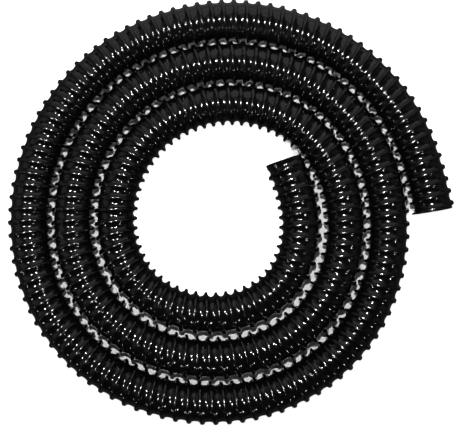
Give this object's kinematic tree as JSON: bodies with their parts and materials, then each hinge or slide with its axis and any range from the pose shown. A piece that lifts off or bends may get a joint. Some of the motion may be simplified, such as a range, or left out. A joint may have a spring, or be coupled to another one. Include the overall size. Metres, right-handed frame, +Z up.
{
  "type": "vacuum hose",
  "caption": "Length of ribbed black pool vacuum hose in a flat coil: a thin film wall with an open bore and a stiff bead wound round it as a helix.",
  "frame": {"origin": "middle of the coil's box, on the surface the hose lies on", "axes": "+Z up, square to the coil's plane; +X to the right of the picture, which looks straight down, and +Y to its top"},
  "size_m": [0.5088, 0.4858, 0.0463],
  "materials": {
    "film": "glossy black flexible film, drawn in a little between the ribs",
    "bead": "glossy black extruded bead"
  },
  "bodies": {
    "root": {"hose_wall": "film", "helix_bead": "bead"}
  },
  "joints": []
}
